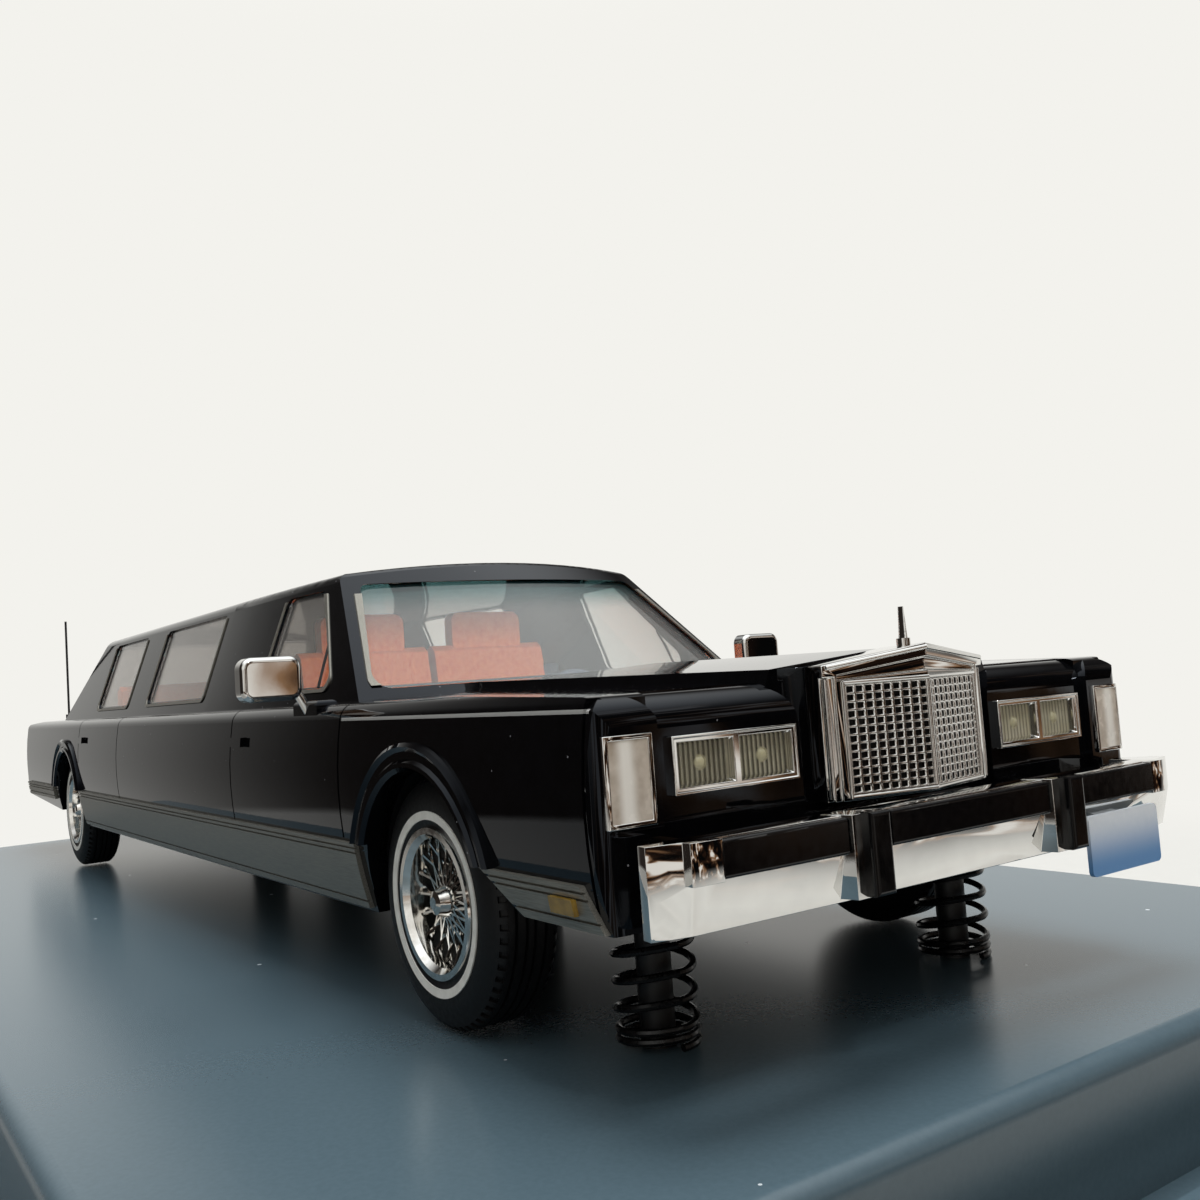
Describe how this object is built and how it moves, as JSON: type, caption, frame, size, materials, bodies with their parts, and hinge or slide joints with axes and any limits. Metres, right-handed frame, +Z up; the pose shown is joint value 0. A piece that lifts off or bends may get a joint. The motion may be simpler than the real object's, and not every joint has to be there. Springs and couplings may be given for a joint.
{
  "type": "scale model limousine on display plinth",
  "caption": "Black stretch limousine display model with chrome trim, wire wheels and whitewall tyres, held on two coil springs over a grey plinth.",
  "frame": {"origin": "middle of the plinth's foot, on the surface it stands on", "axes": "+X to the car's front, +Y to the car's left, +Z up"},
  "size_m": [0.2008, 0.102, 0.0514],
  "materials": {
    "black_lacquer": "gloss",
    "plinth_grey": "satin",
    "chassis_black": "satin",
    "spring_steel": "satin",
    "spring_black": "satin",
    "chrome": "polished",
    "pad_rubber": "matte",
    "tyre_rubber": "matte",
    "white_band": "satin",
    "dark_plastic": "matte",
    "clear_glazing": "clear",
    "clear_lens": "clear",
    "milky_lens": "gloss",
    "amber_lens": "gloss",
    "red_lens": "gloss",
    "satin_trim": "satin",
    "plate_white": "satin",
    "seat_plastic": "satin",
    "cabin_trim": "satin"
  },
  "bodies": {
    "display_model": {"body_shell": "black_lacquer", "door_handles": "black_lacquer", "plinth": "plinth_grey", "chassis_plate": "chassis_black", "spring_posts": "chassis_black", "plinth_screws": "spring_steel", "coil_springs": "spring_black", "front_bumper": "chrome", "rear_bumper": "chrome", "grille_surround": "chrome", "grille_mesh": "chrome", "hood_finial": "chrome", "headlamp_bezels": "chrome", "corner_lamp_frames": "chrome", "door_mirrors": "chrome", "front_bumper_pads": "pad_rubber", "rear_bumper_pads": "pad_rubber", "grille_backing": "dark_plastic", "rear_aerial": "dark_plastic", "windscreen": "clear_glazing", "rear_window": "clear_glazing", "side_glass_right": "clear_glazing", "side_glass_left": "clear_glazing", "headlamp_lenses": "clear_lens", "corner_lamps": "milky_lens", "marker_lenses": "amber_lens", "tail_lamps": "red_lens", "side_mouldings": "satin_trim", "screen_trim": "satin_trim", "window_trim": "satin_trim", "front_plate": "plate_white", "front_seats": "seat_plastic", "rear_seats": "seat_plastic", "interior_tub": "cabin_trim", "dashboard": "cabin_trim", "steering_wheel": "cabin_trim", "partition": "cabin_trim"},
    "front_wheelset": {"front_axle": "spring_steel", "front_right_rim": "chrome", "front_left_rim": "chrome", "front_right_tyre": "tyre_rubber", "front_left_tyre": "tyre_rubber", "front_whitewalls": "white_band", "front_drums": "dark_plastic"},
    "rear_wheelset": {"rear_axle": "spring_steel", "rear_right_rim": "chrome", "rear_left_rim": "chrome", "rear_right_tyre": "tyre_rubber", "rear_left_tyre": "tyre_rubber", "rear_whitewalls": "white_band", "rear_drums": "dark_plastic"}
  },
  "joints": [
    {"name": "front_wheelset_spin", "type": "hinge", "parent": "display_model", "child": "front_wheelset", "pos_m": [0.06385, 0, 0.02308], "axis": [0, 1, 0], "continuous": true},
    {"name": "rear_wheelset_spin", "type": "hinge", "parent": "display_model", "child": "rear_wheelset", "pos_m": [-0.05115, 0, 0.02308], "axis": [0, 1, 0], "continuous": true}
  ]
}
